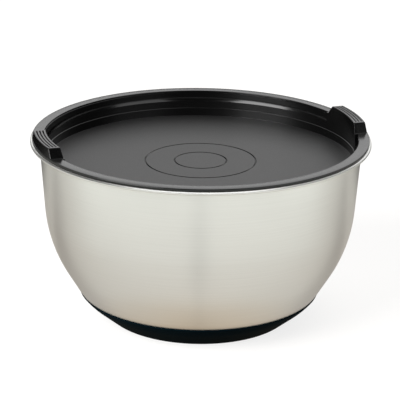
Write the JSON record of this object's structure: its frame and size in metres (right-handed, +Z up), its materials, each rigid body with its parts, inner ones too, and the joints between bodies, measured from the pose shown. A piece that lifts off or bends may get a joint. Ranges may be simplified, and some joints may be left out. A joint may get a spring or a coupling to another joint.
{
  "type": "mixing bowl with lid",
  "caption": "Round stainless mixing bowl with a flat rolled lip, a black silicone non-slip base and a sunk press-in plastic lid with raised grips.",
  "frame": {"origin": "centre of the flat face that the silicone base stands on", "axes": "+Z up along the bowl's axis, +X and -X through the middle of the lid's two grips"},
  "size_m": [0.259, 0.259, 0.1493],
  "materials": {
    "brushed_stainless": "satin, brushed round the bowl",
    "black_silicone": "matte",
    "black_polypropylene": "satin moulded"
  },
  "bodies": {
    "bowl": {"bowl_shell": "brushed_stainless", "silicone_base": "black_silicone"},
    "lid": {"lid": "black_polypropylene"}
  },
  "joints": [
    {"name": "lid_lift", "type": "slide", "parent": "bowl", "child": "lid", "axis": [0, 0, 1], "range_m": [0, 0.12]}
  ]
}
